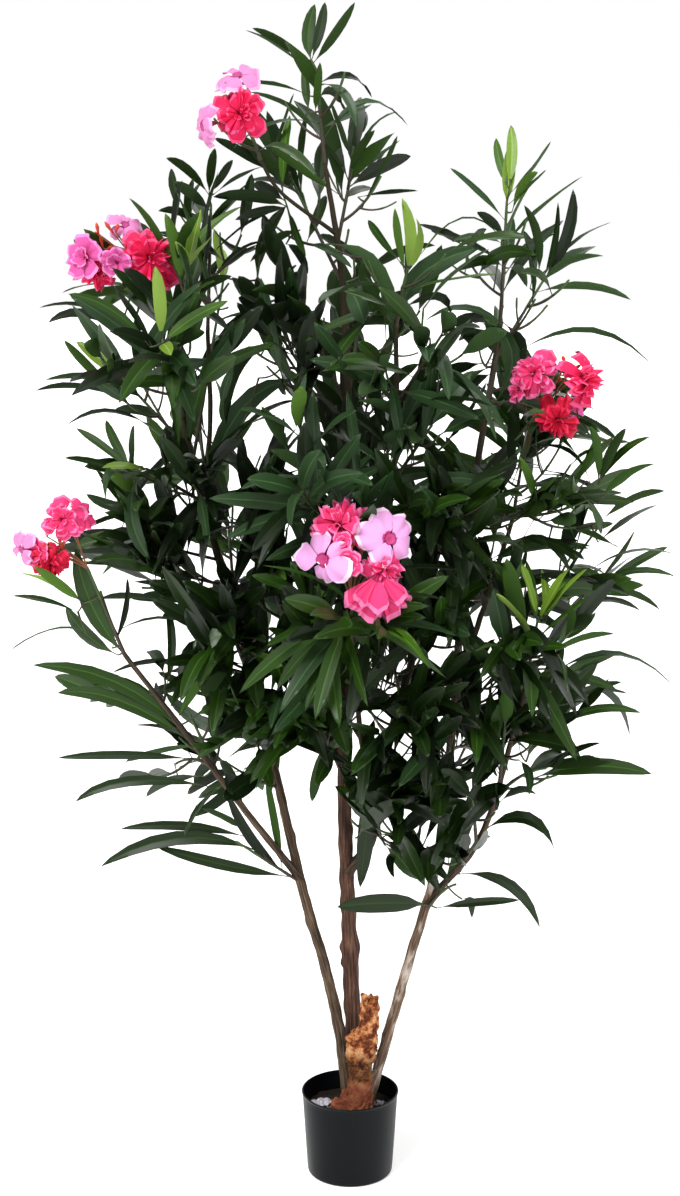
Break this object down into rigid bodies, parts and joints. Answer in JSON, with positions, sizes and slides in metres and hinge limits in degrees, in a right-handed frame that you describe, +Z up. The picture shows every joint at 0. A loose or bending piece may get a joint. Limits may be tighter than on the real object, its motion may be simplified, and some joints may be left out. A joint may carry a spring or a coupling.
{
  "type": "artificial potted oleander",
  "caption": "Tall artificial oleander: bare woody stems rise from a small black filled pot into an open crown of long narrow leaves with clusters of pink blossom.",
  "frame": {"origin": "centre of the pot's flat underside, on the ground", "axes": "+Z up along the plant's height, +X to the right seen from the front, -Y towards the front"},
  "size_m": [1.013, 0.8299, 1.7997],
  "materials": {
    "pot_plastic": "satin",
    "fill_cement": "matte",
    "cork_bark": "matte",
    "wood_brown": "matte",
    "wood_reddish": "matte",
    "wood_greyish": "matte",
    "wood_bough": "matte",
    "leaf_green": "satin",
    "blossom_spray": "satin"
  },
  "bodies": {
    "root": {"pot": "pot_plastic", "pot_fill": "fill_cement", "root_stub": "cork_bark", "stem_left": "wood_brown", "stem_middle": "wood_reddish", "stem_right": "wood_greyish", "bough_back": "wood_bough", "bough_back_left": "wood_bough", "bough_back_right": "wood_bough", "bough_centre": "wood_bough", "bough_cut": "wood_bough", "bough_inner_right": "wood_bough", "bough_left_high": "wood_bough", "bough_low_left": "wood_bough", "bough_low_right": "wood_bough", "bough_right_fork": "wood_bough", "bough_upper_left": "wood_bough", "flowers_centre": "blossom_spray", "flowers_high_left": "blossom_spray", "flowers_low_left": "blossom_spray", "flowers_right": "blossom_spray", "flowers_top": "blossom_spray", "foot_front": "leaf_green", "foot_left": "leaf_green", "foot_right": "leaf_green", "skirt_back": "leaf_green", "skirt_back_left": "leaf_green", "skirt_back_right": "leaf_green", "skirt_front": "leaf_green", "skirt_front_left": "leaf_green", "skirt_left": "leaf_green", "skirt_right": "leaf_green", "spray_back_high": "leaf_green", "spray_back_high_left": "leaf_green", "spray_back_high_right": "leaf_green", "spray_back_left": "leaf_green", "spray_back_mid": "leaf_green", "spray_back_right": "leaf_green", "spray_far_left": "leaf_green", "spray_far_right": "leaf_green", "spray_front_high": "leaf_green", "spray_front_left": "leaf_green", "spray_front_right": "leaf_green", "spray_high_left": "leaf_green", "spray_inner_left": "leaf_green", "spray_inner_left_high": "leaf_green", "spray_leader": "leaf_green", "spray_low_left": "leaf_green", "spray_low_right": "leaf_green", "spray_mid_left": "leaf_green", "spray_mid_right": "leaf_green", "spray_shoulder_right": "leaf_green", "spray_star_front": "leaf_green", "spray_top_back": "leaf_green", "spray_top_left": "leaf_green", "spray_top_right": "leaf_green", "spray_upper_left": "leaf_green", "spray_young_inner": "leaf_green", "spray_young_left": "leaf_green", "spray_young_right": "leaf_green"}
  },
  "joints": []
}
